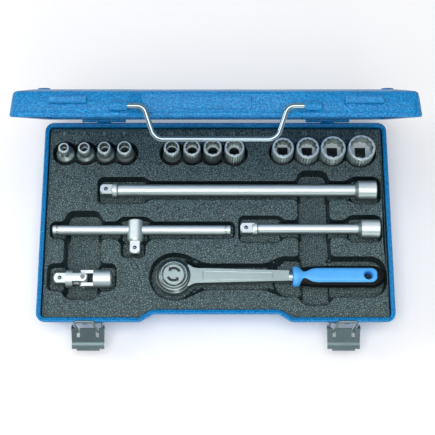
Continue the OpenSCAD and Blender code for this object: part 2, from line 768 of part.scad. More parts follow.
module ratchet_gear()
    color([0.66, 0.66, 0.67]) place_ratchet() difference() {
        union() {
            translate([0, 0, -10.4]) linear_extrude(7.4)
                polygon([for (i = [0 : 2 * gear_teeth - 1])
                    let (a = 180 / gear_teeth * i, r = i % 2 == 0 ? gear_root_r : gear_r)
                        r * [cos(a), sin(a)]]);
            translate([0, 0, -12.4]) cylinder(r = 9.2, h = 2.2);
            rotate([0, -90, 0]) x_square_end_down();
        }
        translate([0, 0, -20]) rotate([0, 0, 45]) rotate([90, 0, 0]) ball_hole();
    }

// The gear's drive square, drawn along -X so that it hangs down
module x_square_end_down()
    rotate([45, 0, 0]) translate([-24.2, 0, 0]) x_square_end(0, 13, drive_sq);

module ratchet_gear_ball()
    color([0.8, 0.8, 0.8]) place_ratchet() translate([0, 0, -20]) rotate([0, 0, 45])
        rotate([90, 0, 0]) detent_ball();

module ratchet_gear_spring()
    color([0.6, 0.6, 0.6]) place_ratchet() translate([0, 0, -20]) rotate([0, 0, 45])
        rotate([90, 0, 0]) detent_spring();

module ratchet_retaining_ring()
    color([0.45, 0.45, 0.46]) place_ratchet() translate([0, 0, head_bottom + 0.15])
        difference() {
            cylinder(r = 11.5, h = 0.9);
            translate([0, 0, -1]) cylinder(r = 9.35, h = 3);
            translate([-13, -1.5, -1]) cube([6, 3, 3]);
        }

// An anchor with a toe on each side of the gear, rocked so that one toe is between two teeth
module ratchet_pawl()
    color([0.58, 0.58, 0.6]) place_ratchet() translate([pawl_pivot_x, 0, -10.2])
        rotate([0, 0, pawl_rock]) linear_extrude(6.9) difference() {
            union() {
                circle(r = 2);
                translate([-pawl_pivot_x, 0]) {
                    polygon(concat(arc([0, 0], 12.2, -46, 46, 12), arc([0, 0], 10.2, 46, -46, 12)));
                    for (side = [-1, 1]) rotate([0, 0, side * pawl_angle])
                        polygon([[9.5, -0.1], [12, -1.9], [12, 1.1], [9.5, 0.1]]);
                }
            }
            circle(r = 1.2 + clear);
        }

module ratchet_pawl_pin()
    color([0.5, 0.5, 0.52]) place_ratchet() translate([pawl_pivot_x, 0, -11.8])
        cylinder(r = 1.2, h = 9.3);

module ratchet_selector()
    color([0.78, 0.78, 0.79]) place_ratchet() {
        rotate_extrude() polygon([[0, -2.7], [3, -2.7], [3, -0.3], [disc_r, -0.3],
            [disc_r, 1.7], [disc_r - 0.9, 2.5], [0, 2.5]]);
        for (x = [-8.3, 8.3]) translate([x, 0, 2.4]) cylinder(r = 0.8, h = 0.5);
    }

// ---------- ratchet grip ----------

module place_grip() place_ratchet() translate([0, 0, grip_axis_z]) children();

module grip_core_solid()
    rotate([90, 0, 90]) {
        translate([0, 0, grip_start]) cylinder(r = 9.4, h = 10.5);
        translate([0, 0, grip_start]) linear_extrude(core_end - grip_start)
            polygon(rounded([-core_half_w, -core_half_h], [core_half_w, core_half_h], 3));
    }

module ratchet_grip_core()
    color([0.35, 0.62, 0.95]) place_grip() difference() {
        grip_core_solid();
        x_rod(grip_start - 1, 158.2, 3.6 + clear);
        translate([hang_hole_x, 0, 0]) cylinder(r = hang_hole_r, h = 40, center = true);
    }

module ratchet_grip_sleeve()
    color([0.10, 0.10, 0.11]) place_grip() difference() {
        rotate([90, 0, 90]) translate([0, 0, grip_start + 10.8])
            linear_extrude(sleeve_end - grip_start - 10.8)
                polygon(rounded([-sleeve_half_w, -sleeve_half_h], [sleeve_half_w, sleeve_half_h], 5));
        grip_core_solid();
    }

base_shell();
lid_shell();
hinge_leaves_base();
hinge_leaves_lid();
hinge_pins();
latch_keepers();
handle_lugs();
carry_handle();
latch_brackets();
latch_rivets();
latch_pins();
latch_lever_left();
latch_lever_right();
latch_loop_left();
latch_loop_right();
tray();
socket_06();
socket_07();
socket_08();
socket_09();
socket_10();
socket_11();
socket_12();
socket_13();
socket_14();
socket_15();
socket_17();
socket_19();
extension_long();
extension_long_ball();
extension_long_spring();
extension_short();
extension_short_ball();
extension_short_spring();
tbar_rod();
tbar_head();
tbar_ball();
tbar_spring();
joint_socket_half();
joint_cross();
joint_pin_long();
joint_pin_short();
joint_drive_half();
joint_ball();
joint_spring();
ratchet_body();
ratchet_gear();
ratchet_gear_ball();
ratchet_gear_spring();
ratchet_pawl();
ratchet_pawl_pin();
ratchet_selector();
ratchet_retaining_ring();
ratchet_grip_core();
ratchet_grip_sleeve();
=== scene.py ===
"""The look of a three-eighths drive socket set in a pressed steel case, built round its CAD frame.

Lengths are in millimetres, heights are from the rim of the base, and both become metres and heights
above the floor where a mesh is made. X runs along the case and Y from its front to its hinges.
"""
import json
import math

import bmesh
import bpy
import numpy as np
from mathutils import Matrix, Vector
from mathutils.geometry import delaunay_2d_cdt


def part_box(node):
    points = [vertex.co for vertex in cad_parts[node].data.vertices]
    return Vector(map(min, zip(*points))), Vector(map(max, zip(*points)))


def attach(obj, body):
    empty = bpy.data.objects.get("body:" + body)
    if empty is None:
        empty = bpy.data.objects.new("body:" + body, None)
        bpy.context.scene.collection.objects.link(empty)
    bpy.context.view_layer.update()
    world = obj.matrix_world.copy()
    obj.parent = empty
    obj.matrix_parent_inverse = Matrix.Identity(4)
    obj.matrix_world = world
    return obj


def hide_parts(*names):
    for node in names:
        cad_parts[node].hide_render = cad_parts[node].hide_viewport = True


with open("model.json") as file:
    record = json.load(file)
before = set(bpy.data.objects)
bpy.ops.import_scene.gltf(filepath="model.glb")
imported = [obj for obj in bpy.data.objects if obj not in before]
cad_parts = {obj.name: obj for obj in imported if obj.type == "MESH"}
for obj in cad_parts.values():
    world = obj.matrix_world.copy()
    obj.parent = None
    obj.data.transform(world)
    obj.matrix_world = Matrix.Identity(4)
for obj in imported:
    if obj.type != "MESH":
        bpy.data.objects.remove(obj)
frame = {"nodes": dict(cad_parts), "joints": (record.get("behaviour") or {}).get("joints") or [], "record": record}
nodes = frame["nodes"]
joints = {j["name"]: j for j in frame["joints"]}

MM = 0.001
low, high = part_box("base_shell")
CASE_W = (high.x - low.x) / MM
CASE_D = (high.y - low.y) / MM
RIM = high.z / MM
HINGE_Y = joints["lid_hinge"]["pos_m"][1] / MM
LID_OPEN = -joints["lid_hinge"]["range_deg"][0]
LID_H = 22.0
SHEET = 1.0
RIM_W = 4.0
BAY_HALF_W = 55.0
BAY_SLOPE = 11.0
BAY_DEPTH = 7.0
BASE_LEAN = 14.0
LID_LEAN = 9.0
WALL_Y = -CASE_D / 2
TRAY_TOP = -4.0

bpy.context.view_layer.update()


# ---------- meshes ----------

AT_RIM = Matrix.Translation((0, 0, RIM))
ON_LID = (Matrix.Translation((0, HINGE_Y, RIM)) @ Matrix.Rotation(-math.radians(LID_OPEN), 4, "X")
          @ Matrix.Translation((0, -HINGE_Y, 0)))


def piece(name, points, faces, body, material, slot, place=AT_RIM, sharp=35.0):
    """A mesh piece from points in millimetres, riding on a CAD body."""
    mesh = bpy.data.meshes.new(name)
    mesh.from_pydata([(place @ Vector(p)) * MM for p in points], [], faces)
    bm = bmesh.new()
    bm.from_mesh(mesh)
    bmesh.ops.remove_doubles(bm, verts=bm.verts, dist=1e-6)
    bmesh.ops.recalc_face_normals(bm, faces=bm.faces)
    bm.to_mesh(mesh)
    bm.free()
    mesh.shade_smooth()
    mesh.set_sharp_from_angle(angle=math.radians(sharp))
    mesh.materials.append(material)
    obj = bpy.data.objects.new(name, mesh)
    bpy.context.scene.collection.objects.link(obj)
    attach(obj, body)
    return obj


def loft(rings, cap_first=True, cap_last=True, closed=False):
    """Points and faces of a skin through rings of equal length."""
    n = len(rings[0])
    points = [p for ring in rings for p in ring]
    pairs = [(i, i + 1) for i in range(len(rings) - 1)]
    if closed:
        pairs.append((len(rings) - 1, 0))
    faces = [(a * n + j, a * n + (j + 1) % n, b * n + (j + 1) % n, b * n + j)
             for a, b in pairs for j in range(n)]
    if cap_first and not closed:
        faces.append(tuple(range(n)))
    if cap_last and not closed:
        faces.append(tuple((len(rings) - 1) * n + j for j in range(n)))
    return points, faces


def joined(*parts):
    """Several (points, faces) as one."""
    points, faces = [], []
    for p, f in parts:
        base = len(points)
        points += list(p)
        faces += [tuple(base + i for i in face) for face in f]
    return points, faces


def outline(corners, inset, steps=7, least=0.25):
    """An anticlockwise outline moved inwards, its corners rounded. A corner is (x, y, radius)."""
    n = len(corners)
    edges = []
    for i in range(n):
        a, b = Vector(corners[i][:2]), Vector(corners[(i + 1) % n][:2])
        along = (b - a).normalized()
        edges.append((a + Vector((-along.y, along.x)) * inset, along))
    path = []
    for i in range(n):
        (p, u), (q, v) = edges[i - 1], edges[i]
        cross = u.x * v.y - u.y * v.x
        corner = p + u * (((q - p).x * v.y - (q - p).y * v.x) / cross)
        turn = math.atan2(cross, u.dot(v))
        radius = max(corners[i][2] - math.copysign(inset, turn), least)
        back = radius * math.tan(abs(turn) / 2)
        side = math.copysign(1, turn)
        centre = corner - u * back + Vector((-u.y, u.x)) * side * radius
        start = corner - u * back - centre
        for k in range(steps + 1):
            spin = Matrix.Rotation(turn * k / steps, 2)
            path.append(centre + spin @ start)
    return path


def ring_at(path, z):
    return [(p.x, p.y, z) for p in path]


def arc(x, y, r, start, end, steps):
    """Points of an arc in a section, from one angle to another in degrees."""
    return [(x + r * math.cos(math.radians(start + (end - start) * k / steps)),
             y + r * math.sin(math.radians(start + (end - start) * k / steps)))
            for k in range(steps + 1)]


def cut(obj, points, faces, place=AT_RIM):
    """Cuts a closed shape out of a piece."""
    mesh = bpy.data.meshes.new("cutter")
    mesh.from_pydata([(place @ Vector(p)) * MM for p in points], [], faces)
    cutter = bpy.data.objects.new("cutter", mesh)
    bpy.context.scene.collection.objects.link(cutter)
    mod = obj.modifiers.new("cut", "BOOLEAN")
    mod.operation, mod.solver, mod.object = "DIFFERENCE", "EXACT", cutter
    bpy.context.view_layer.update()
    result = bpy.data.meshes.new_from_object(obj.evaluated_get(bpy.context.evaluated_depsgraph_get()))
    obj.modifiers.remove(mod)
    obj.data = result
    bpy.data.objects.remove(cutter)
    obj.data.shade_smooth()
    obj.data.set_sharp_from_angle(angle=math.radians(35))


# ---------- materials ----------

def new_material(name, **sockets):
    """A material with its Principled BSDF's own sockets set."""
    mat = bpy.data.materials.new(name)
    mat.use_nodes = True
    shader = mat.node_tree.nodes["Principled BSDF"]
    for key, value in sockets.items():
        shader.inputs[key.replace("_", " ")].default_value = value
    return mat, mat.node_tree, shader


def add(tree, kind, **settings):
    node = tree.nodes.new(kind)
    for key, value in settings.items():
        if key in node.inputs:
            node.inputs[key].default_value = value
        else:
            setattr(node, key, value)
    return node


def per_mm(tree, size):
    """The object's coordinates, scaled so that one unit is size millimetres."""
    coords = add(tree, "ShaderNodeTexCoord")
    scale = add(tree, "ShaderNodeVectorMath", operation="SCALE")
    scale.inputs["Scale"].default_value = 1 / (size * MM)
    tree.links.new(coords.outputs["Object"], scale.inputs[0])
    return scale.outputs[0]


def noise(tree, size, detail=3.0):
    node = add(tree, "ShaderNodeTexNoise", Detail=detail)
    node.inputs["Scale"].default_value = 1.0
    tree.links.new(per_mm(tree, size), node.inputs["Vector"])
    return node.outputs["Fac"]


def cells(tree, size, feature, smooth=0.0):
    node = add(tree, "ShaderNodeTexVoronoi", feature=feature)
    node.inputs["Scale"].default_value = 1.0
    if feature == "SMOOTH_F1":
        node.inputs["Smoothness"].default_value = smooth
    tree.links.new(per_mm(tree, size), node.inputs["Vector"])
    return node.outputs["Distance"]


def mapped(tree, value, low_in, high_in, low_out, high_out):
    node = add(tree, "ShaderNodeMapRange")
    for key, v in (("From Min", low_in), ("From Max", high_in), ("To Min", low_out),
                   ("To Max", high_out)):
        node.inputs[key].default_value = v
    tree.links.new(value, node.inputs["Value"])
    return node.outputs["Result"]


def product(tree, a, b):
    node = add(tree, "ShaderNodeMath", operation="MULTIPLY")
    tree.links.new(a, node.inputs[0])
    tree.links.new(b, node.inputs[1])
    return node.outputs[0]


def tinted(tree, shader, value, dark, light):
    """A shader's colour goes from dark to light with a value."""
    mix = add(tree, "ShaderNodeMix", data_type="RGBA")
    mix.inputs[6].default_value = (*dark, 1)
    mix.inputs[7].default_value = (*light, 1)
    tree.links.new(value, mix.inputs[0])
    tree.links.new(mix.outputs[2], shader.inputs[0])


def bumped(tree, shader, *layers):
    """Bumps on the shader's normal: each layer is (value, height in millimetres)."""
    last = None
    for value, height in layers:
        bump = add(tree, "ShaderNodeBump", Strength=1.0, Distance=height * MM)
        tree.links.new(value, bump.inputs["Height"])
        if last:
            tree.links.new(last, bump.inputs["Normal"])
        last = bump.outputs["Normal"]
    tree.links.new(last, shader.inputs["Normal"])


def hammer_paint():
    """Blue enamel with the dimples of a hammer finish, with painted shade and highlight in its colour: darker in
    each dimple's hollow, lighter on the ridges between.
    """
    mat, tree, shader = new_material("hammer_enamel", Metallic=0.0, Roughness=0.34)
    shader.inputs["Specular IOR Level"].default_value = 0.3
    dimples = cells(tree, 1.35, "SMOOTH_F1", 0.6)
    # painted shade and highlight: a shaded and a lit blue, darker where a dimple dips and lighter on its ridges
    tinted(tree, shader, mapped(tree, dimples, 0.15, 0.8, 0, 1), (0.0, 0.11, 0.33),
           (0.005, 0.28, 0.62))
    bumped(tree, shader, (dimples, 0.4), (noise(tree, 0.9), 0.1))
    return mat


def facing_up(tree):
    """How much a surface faces up: 1 when level, 0 when upright, below 0 when it faces down."""
    geometry = add(tree, "ShaderNodeNewGeometry")
    split = add(tree, "ShaderNodeSeparateXYZ")
    tree.links.new(geometry.outputs["True Normal"], split.inputs[0])
    return split.outputs["Z"]


def tray_sheet():
    """Dark plastic sheet with a leather grain, pressed smooth where it bends over a lip. Its colour holds painted
    shade in the grain's creases and on the pocket walls and lips, and painted glints on the pebbles.
    """
    mat, tree, shader = new_material("grained_sheet", Metallic=0.0, Roughness=0.4)
    # the grain's pebbles: they raise the bump, and they also darken the colour in the creases between them as
    # painted shade
    pebbles_and_crease_shade = mapped(tree, cells(tree, 1.9, "DISTANCE_TO_EDGE"), 0.0, 0.3, 0, 1)
    fine = noise(tree, 1.0, 4.0)
    upright = facing_up(tree)
    # besides smoothing the grain on lips and walls, this darkens their colour as painted shade
    flat = mapped(tree, upright, 0.7, 0.98, 0.12, 1.0)
    painted_crease_shade_and_glints = product(tree, pebbles_and_crease_shade, mapped(tree, fine, 0.3, 0.62, 0.25, 1.0))
    # painted shade in the creases and on walls and lips, with painted glints where the fine noise lightens the
    # pebble tops
    tinted(tree, shader, product(tree, painted_crease_shade_and_glints, flat), (0.006, 0.014, 0.016), (0.19, 0.31, 0.32))
    tree.links.new(mapped(tree, upright, 0.7, 0.98, 0.24, 0.42), shader.inputs["Roughness"])
    bumped(tree, shader, (product(tree, pebbles_and_crease_shade, flat), 0.3), (product(tree, fine, flat), 0.3))
    return mat


def plated(name, rough, spread, brushed):
    """Bare plated steel: a little variation of roughness, and a fine brushed bump where asked for."""
    mat, tree, shader = new_material(name, Metallic=1.0, Roughness=rough)
    speck = noise(tree, 0.35, 2.0)
    tree.links.new(mapped(tree, speck, 0.25, 0.75, rough - spread, rough + spread),
                   shader.inputs["Roughness"])
    if brushed:
        bumped(tree, shader, (speck, brushed))
    return mat, tree, shader


def chrome(name, colour, rough, spread, brushed=0.0):
    """Plated steel of one colour, a little clouded."""
    mat, tree, shader = plated(name, rough, spread, brushed)
    dark = tuple(c * 0.9 for c in colour)
    tinted(tree, shader, mapped(tree, noise(tree, 9.0), 0.3, 0.7, 0, 1), dark, colour)
    return mat


def plastic(name, dark, light, rough, grain_height):
    """Moulded plastic or rubber with a fine spark-eroded texture."""
    mat, tree, shader = new_material(name, Metallic=0.0, Roughness=rough)
    fine = noise(tree, 0.45, 3.0)
    tinted(tree, shader, mapped(tree, noise(tree, 12.0), 0.3, 0.7, 0, 1), dark, light)
    tree.links.new(mapped(tree, fine, 0.3, 0.7, rough - 0.06, rough + 0.06),
                   shader.inputs["Roughness"])
    bumped(tree, shader, (fine, grain_height))
    return mat


def satin_plate():
    """Satin chrome with a painted highlight where it faces up, lighter in colour and less metallic there, and
    painted shade that darkens its upright walls.
    """
    mat, tree, shader = plated("satin_chrome", 0.42, 0.06, 0.006)
    upright = facing_up(tree)
    # painted highlight: faces that look up get a pale colour and less metal, standing in for a bright reflection
    level = mapped(tree, upright, 0.78, 0.97, 0.0, 1.0)
    # painted shade: upright walls are mixed towards a dark colour
    wall = mapped(tree, upright, 0.0, 0.35, 0.5, 0.0)
    tree.links.new(mapped(tree, level, 0.0, 1.0, 0.85, 0.35), shader.inputs["Metallic"])
    tinted(tree, shader, level, (0.44, 0.54, 0.53), (0.86, 0.91, 0.9))
    painted_wall_shade = add(tree, "ShaderNodeMix", data_type="RGBA")
    tree.links.new(wall, painted_wall_shade.inputs[0])
    tree.links.new(shader.inputs[0].links[0].from_socket, painted_wall_shade.inputs[6])
    painted_wall_shade.inputs[7].default_value = (0.08, 0.13, 0.13, 1)
    tree.links.new(painted_wall_shade.outputs[2], shader.inputs[0])
    return mat


PAINT = hammer_paint()
TRAY = tray_sheet()
SATIN = satin_plate()
BRIGHT = chrome("bright_chrome", (0.25, 0.32, 0.36), 0.12, 0.01)
ZINC = chrome("zinc_plate", (0.16, 0.22, 0.23), 0.34, 0.08, 0.01)
FORGED = chrome("forged_chrome", (0.42, 0.51, 0.5), 0.38, 0.06, 0.006)
STEEL = chrome("hardened_steel", (0.22, 0.26, 0.25), 0.36, 0.08, 0.01)
DARK_STEEL = chrome("darkened_steel", (0.17, 0.21, 0.2), 0.3, 0.08, 0.004)
BLUE = plastic("grip_blue_plastic", (0.07, 0.40, 0.88), (0.09, 0.46, 0.95), 0.42, 0.02)
BLACK = plastic("grip_black_rubber", (0.002, 0.003, 0.004), (0.003, 0.004, 0.005), 0.5, 0.03)
BLACK.node_tree.nodes["Principled BSDF"].inputs["Specular IOR Level"].default_value = 0.2
INK = plastic("dark_marking", (0.01, 0.014, 0.016), (0.02, 0.024, 0.026), 0.4, 0.01)
PALE = plastic("numeral_plastic", (0.2, 0.27, 0.28), (0.26, 0.34, 0.35), 0.4, 0.02)

SLOT_MATERIALS = {"case_paint": PAINT, "tray_plastic": TRAY, "satin_chrome": SATIN,
                  "bright_chrome": BRIGHT, "zinc_plate": ZINC, "steel": STEEL,
                  "grip_blue": BLUE, "grip_black": BLACK}
NODE_MATERIALS = {"ratchet_body": FORGED, "ratchet_selector": FORGED}
BEVELS = {"case_paint": 0.45, "satin_chrome": 0.3, "bright_chrome": 0.25, "zinc_plate": 0.25,
          "steel": 0.15}

for part in frame["record"]["subparts"]:
    node = nodes[part["node"]]
    slot = part["material_slot"]
    node.data.materials.clear()
    node.data.materials.append(NODE_MATERIALS.get(part["node"], SLOT_MATERIALS[slot]))
    if slot in BEVELS and "spring" not in part["node"] and "ball" not in part["node"]:
        weld = node.modifiers.new("weld", "WELD")
        weld.merge_threshold = 2e-6
        bevel = node.modifiers.new("bevel", "BEVEL")
        bevel.width = BEVELS[slot] * MM
        bevel.segments = 2
        bevel.limit_method = "ANGLE"
        bevel.angle_limit = math.radians(38)
        normals = node.modifiers.new("normals", "WEIGHTED_NORMAL")
        normals.keep_sharp = True


# ---------- case ----------

CORNER_R = 8.0
BAY_R = 6.0


def case_corners(roll=0.0):
    """Corners of the case's outline, its front wall outside the bay set back by roll."""
    front = WALL_Y + roll
    return [
        (-CASE_W / 2, front, CORNER_R), (-BAY_HALF_W - BAY_SLOPE, front, BAY_R),
        (-BAY_HALF_W, WALL_Y + BAY_DEPTH, BAY_R), (BAY_HALF_W, WALL_Y + BAY_DEPTH, BAY_R),
        (BAY_HALF_W + BAY_SLOPE, front, BAY_R), (CASE_W / 2, front, CORNER_R),
        (CASE_W / 2, -WALL_Y, CORNER_R), (-CASE_W / 2, -WALL_Y, CORNER_R),
    ]


CASE_CORNERS = case_corners()


def front_roll(z):
    """How far the lid's front wall curves back at a height, on top of its lean."""
    return 2.6 * max(0.0, (z - 8.0) / 13.0) ** 1.7


def pan_rings(section, roll=lambda z: 0.0):
    """Rings round the case's outline for a section of (inset, z) points."""
    return [ring_at(outline(case_corners(roll(z)), inset, least=4.0), z) for inset, z in section]


def pan_section(foot, edge_r, lean, crown=0.0):
    """Half of a pan's closed wall, standing on its foot, with the top of its rolled rim at 0.

    Runs from the outside of the floor, up the leaning wall, over the rim and down the inside to the
    floor. A crown lets the floor bulge out past its own edge.
    """
    wall, under = 0.25, -3.3
    slope = math.tan(math.radians(lean))
    sheet = SHEET / math.cos(math.radians(lean))
    bottom = foot + crown
    centre = (wall + (under - bottom - edge_r) * slope + edge_r / math.cos(math.radians(lean)),
              bottom + edge_r)
    bulge = [(centre[0] + 17, 0.0), (centre[0] + 11, 0.12), (centre[0] + 6, 0.45),
             (centre[0] + 2.5, 0.8)] if crown else []
    outside = [(x, foot + crown * share) for x, share in bulge]
    outside += arc(*centre, edge_r, 270, 180 + lean, 8)
    foot_x, foot_z = outside[-1]
    outside += [(foot_x + (wall - foot_x) * k / 6, foot_z + (under - foot_z) * k / 6)
                for k in range(1, 6)]
    rim = [(wall, under), (0.0, -3.0), (0.0, -1.2), (0.25, -0.5), (0.8, -0.08), (1.4, 0.0),
           (1.9, -0.12), (2.3, -0.45), (2.8, -0.5), (3.3, -0.55), (3.75, -0.85), (RIM_W, -1.5),
           (RIM_W, -3.0)]
    inside = [(wall + sheet, -3.0), (wall + sheet + 0.7 * slope, -4.0)]
    inside += arc(*centre, edge_r - SHEET, 180 + lean, 270, 8)
    inside += [(x, foot + SHEET + crown * share) for x, share in reversed(bulge)]
    return outside + rim + inside


base = piece("case_base", *loft(pan_rings(pan_section(-RIM, 3.5, BASE_LEAN))), "case", PAINT,
             "case_paint")
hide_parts("base_shell")


def flipped(section):
    """A base's section turned over for the lid: its rim is at the lid's gap."""
    gap = 0.3
    return [(inset, gap - z) for inset, z in section]


def bead(corners, widths, place):
    """A raised line that follows an outline. place turns (x, y) and a height into a point."""
    rings = [[place(p.x, p.y, h) for p in outline(corners, inset, 5)] for inset, h in widths]
    return loft(rings, closed=True)


def dome(x, y, z, r, height, steps=6, sides=28):
    """A round pressed foot, standing up from z."""
    rings = []
    for k in range(steps + 1):
        share = k / steps
        rad = r * (1 - 0.28 * share ** 2)
        up = height * math.sin(share * math.pi / 2)
        rings.append([(x + rad * math.cos(2 * math.pi * i / sides),
                       y + rad * math.sin(2 * math.pi * i / sides), z + up) for i in range(sides)])
    return loft([[(px, py, z - 0.6) for px, py, _ in rings[0]]] + rings)


lid_section = flipped(pan_section(-LID_H + 0.3, 3.5, LID_LEAN, 1.8))
lid_parts = [loft(pan_rings(lid_section, front_roll))]
for sx in (-1, 1):
    for sy in (-1, 1):
        lid_parts.append(dome(sx * 134, sy * 62, LID_H, 5, 1.2))
PLATE_X, PLATE_LOW, PLATE_HIGH = 27.4, 5.9, 16.6
plate = [(-PLATE_X, PLATE_LOW, 1.5), (PLATE_X, PLATE_LOW, 1.5), (PLATE_X, PLATE_HIGH, 1.5),
         (-PLATE_X, PLATE_HIGH, 1.5)]


def on_bay_wall(x, z, out):
    """A point on the lid's bay wall, which leans back with the wall's draft."""
    lean = 0.25 + math.tan(math.radians(LID_LEAN)) * max(0.0, z - 3.6)
    return (x, WALL_Y + BAY_DEPTH + lean - out, z)


lid_parts.append(bead(plate, [(-0.1, -0.3), (0.0, 0.15), (0.3, 0.42), (0.7, 0.42), (1.0, 0.15),
                              (1.1, -0.3)], on_bay_wall))
lid = piece("case_lid", *joined(*lid_parts), "lid", PAINT, "case_paint", ON_LID)
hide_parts("lid_shell")


# ---------- tray ----------

SOCKETS = {6: (-137.8, 17), 7: (-119.5, 17), 8: (-101.2, 17), 9: (-82.9, 17), 10: (-40, 17),
           11: (-21.6, 17), 12: (-2.8, 17.4), 13: (16.9, 18.3), 14: (61, 20), 15: (83.4, 21),
           17: (106.4, 23), 19: (132.2, 25)}
SOCKET_Y = 65.0
HEAD = (-37.0, -52.0)

# Each pocket: low and high corners, corner radius, depth below the rim, blend with its neighbours
POCKETS = []
for size, (x, d) in SOCKETS.items():
    gap = 1.9 if size > 13 else 2.9
    back = 0.8 if size > 13 else 0.0
    r = d / 2 + gap
    POCKETS.append(((x - r, SOCKET_Y + back - r), (x + r, SOCKET_Y + back + r), r, 18.2, 3))
POCKETS += [
    # long extension: drive end, bar and socket end
    ((-107, 16.5), (-62.5, 41.5), 5, 14, 6),
    ((-70, 20.4), (125, 37.6), 5, 13, 6),
    ((121, 16), (149.3, 42), 7, 14.2, 6),
    # sliding handle: rod, head and drive square
    ((-148.4, -17), (17, -1.2), 5, 11, 5),
    ((-87, -20), (-59, 3.3), 5, 13, 5),
    ((-84.4, -34.6), (-63, -10), 5, 12.6, 5),
    # short extension: drive end, bar and socket end
    ((20.6, -20.4), (59.5, 4.4), 5, 12, 1),
    ((50, -15.8), (124, 0.2), 5, 12, 5),
    ((118, -20.2), (148.6, 5), 6, 14.2, 5),
    # universal joint
    ((-149, -65), (-88.3, -40.5), 5, 13.5, 5),
    # ratchet: head and the well for its square, shank and grip
    ((HEAD[0] - 21.6, HEAD[1] - 21.6), (HEAD[0] + 21.6, HEAD[1] + 21.6), 21.6, 13.4, 14),
    ((HEAD[0] - 8.6, HEAD[1] - 8.6), (HEAD[0] + 8.6, HEAD[1] + 8.6), 8.6, 27, 1),
    ((-30, -64), (60, -40.6), 5, 13, 14),
    ((50, -70.6), (151, -34), 14, 15.8, 12),
    # finger channels
    ((-135, -73), (-102.7, 9), 8, 18, 5),
    ((74, -78.4), (102, 48), 8, 18, 5),
]


def pocket_distances(x, y):
    """Signed distance to each pocket's outline, negative inside."""
    found = []
    for (x0, y0), (x1, y1), r, _, _ in POCKETS:
        qx = np.abs(x - (x0 + x1) / 2) - ((x1 - x0) / 2 - r)
        qy = np.abs(y - (y0 + y1) / 2) - ((y1 - y0) / 2 - r)
        found.append(np.hypot(np.maximum(qx, 0), np.maximum(qy, 0))
                     + np.minimum(np.maximum(qx, qy), 0) - r)
    return found


def smooth_min(a, b, k):
    h = np.clip(0.5 + 0.5 * (b - a) / k, 0, 1)
    return b + (a - b) * h - k * h * (1 - h)


def lip_distance(x, y):
    """Signed distance to the edge of all the pockets together, with their meetings rounded."""
    found = pocket_distances(x, y)
    total = found[0]
    for d, pocket in zip(found[1:], POCKETS[1:]):
        total = smooth_min(total, d, pocket[4])
    return total


def smooth_step(t):
    t = np.clip(t, 0, 1)
    return t * t * (3 - 2 * t)


def floor_depth(x, y, lip):
    """Depth of the floor below the rim: a ramp 3 mm wide joins floors of different depths."""
    ramp = 3.0
    depth = np.full_like(x, -TRAY_TOP)
    for d, pocket in zip(pocket_distances(x, y), POCKETS):
        weight = np.maximum(smooth_step((ramp - (d - lip)) / ramp), smooth_step((0.5 - d) / ramp))
        depth = np.maximum(depth, -TRAY_TOP + (pocket[3] + TRAY_TOP) * weight)
    return depth


LIP_R, FOOT_R, DRAFT = 1.2, 2.0, 0.6
TRAY_MARGIN, EDGE_W = 4.1, 1.6


def drop(level, height):
    """How far the sheet lies below the tray's top, at a signed distance from the lip."""
    if level >= 0:
        across = min(level, LIP_R)
        return np.full_like(height, LIP_R - math.sqrt(LIP_R ** 2 - (LIP_R - across) ** 2))
    into = -level - DRAFT
    if into <= 0:
        return LIP_R + (height - FOOT_R - LIP_R) * (-level / DRAFT)
    return height - FOOT_R + math.sqrt(FOOT_R ** 2 - (FOOT_R - min(into, FOOT_R)) ** 2)


def lip_loops(step):
    """Closed contours of the lip, found on a grid and then moved exactly onto it."""
    xs = np.arange(-CASE_W / 2, CASE_W / 2 + step, step)
    ys = np.arange(-CASE_D / 2, CASE_D / 2 + step, step)
    gx, gy = np.meshgrid(xs, ys, indexing="ij")
    field = lip_distance(gx, gy)
    inside = field < 0
    follows = {}

    def crossing(a, b):
        (i, j), (k, m) = a, b
        t = field[a] / (field[a] - field[b])
        return (xs[i] + (xs[k] - xs[i]) * t, ys[j] + (ys[m] - ys[j]) * t)

    where = {}
    for i, j in zip(*np.nonzero(inside[:-1, :-1] | inside[1:, :-1] | inside[:-1, 1:] | inside[1:, 1:])):
        square = [(i, j), (i + 1, j), (i + 1, j + 1), (i, j + 1)]
        enter, leave = [], []
        for a, b in zip(square, square[1:] + square[:1]):
            if inside[a] != inside[b]:
                key = tuple(sorted((a, b)))
                where[key] = crossing(*key)
                (leave if inside[a] else enter).append(key)
        for a, b in zip(leave, enter):
            follows[a] = b
    loops = []
    while follows:
        start, nxt = follows.popitem()
        loop = [start]
        while nxt != start:
            loop.append(nxt)
            nxt = follows.pop(nxt)
        loops.append(np.array([where[k] for k in loop]))
    return loops


def evenly(loop, step):
    """The same closed line with points at even distances."""
    closed = np.vstack([loop, loop[:1]])
    along = np.concatenate([[0], np.cumsum(np.hypot(*np.diff(closed, axis=0).T))])
    count = max(12, int(along[-1] / step))
    at = np.linspace(0, along[-1], count, endpoint=False)
    return np.column_stack([np.interp(at, along, closed[:, 0]), np.interp(at, along, closed[:, 1])])


def moved_to(points, level):
    """Points moved along the slope of the lip distance to one of its levels."""
    x, y = points[:, 0].copy(), points[:, 1].copy()
    h = 0.02
    for _ in range(8):
        value = lip_distance(x, y) - level
        gx = (lip_distance(x + h, y) - lip_distance(x - h, y)) / (2 * h)
        gy = (lip_distance(x, y + h) - lip_distance(x, y - h)) / (2 * h)
        size = np.maximum(gx ** 2 + gy ** 2, 0.2)
        x -= np.clip(value * gx / size, -0.6, 0.6)
        y -= np.clip(value * gy / size, -0.6, 0.6)
    return np.column_stack([x, y])


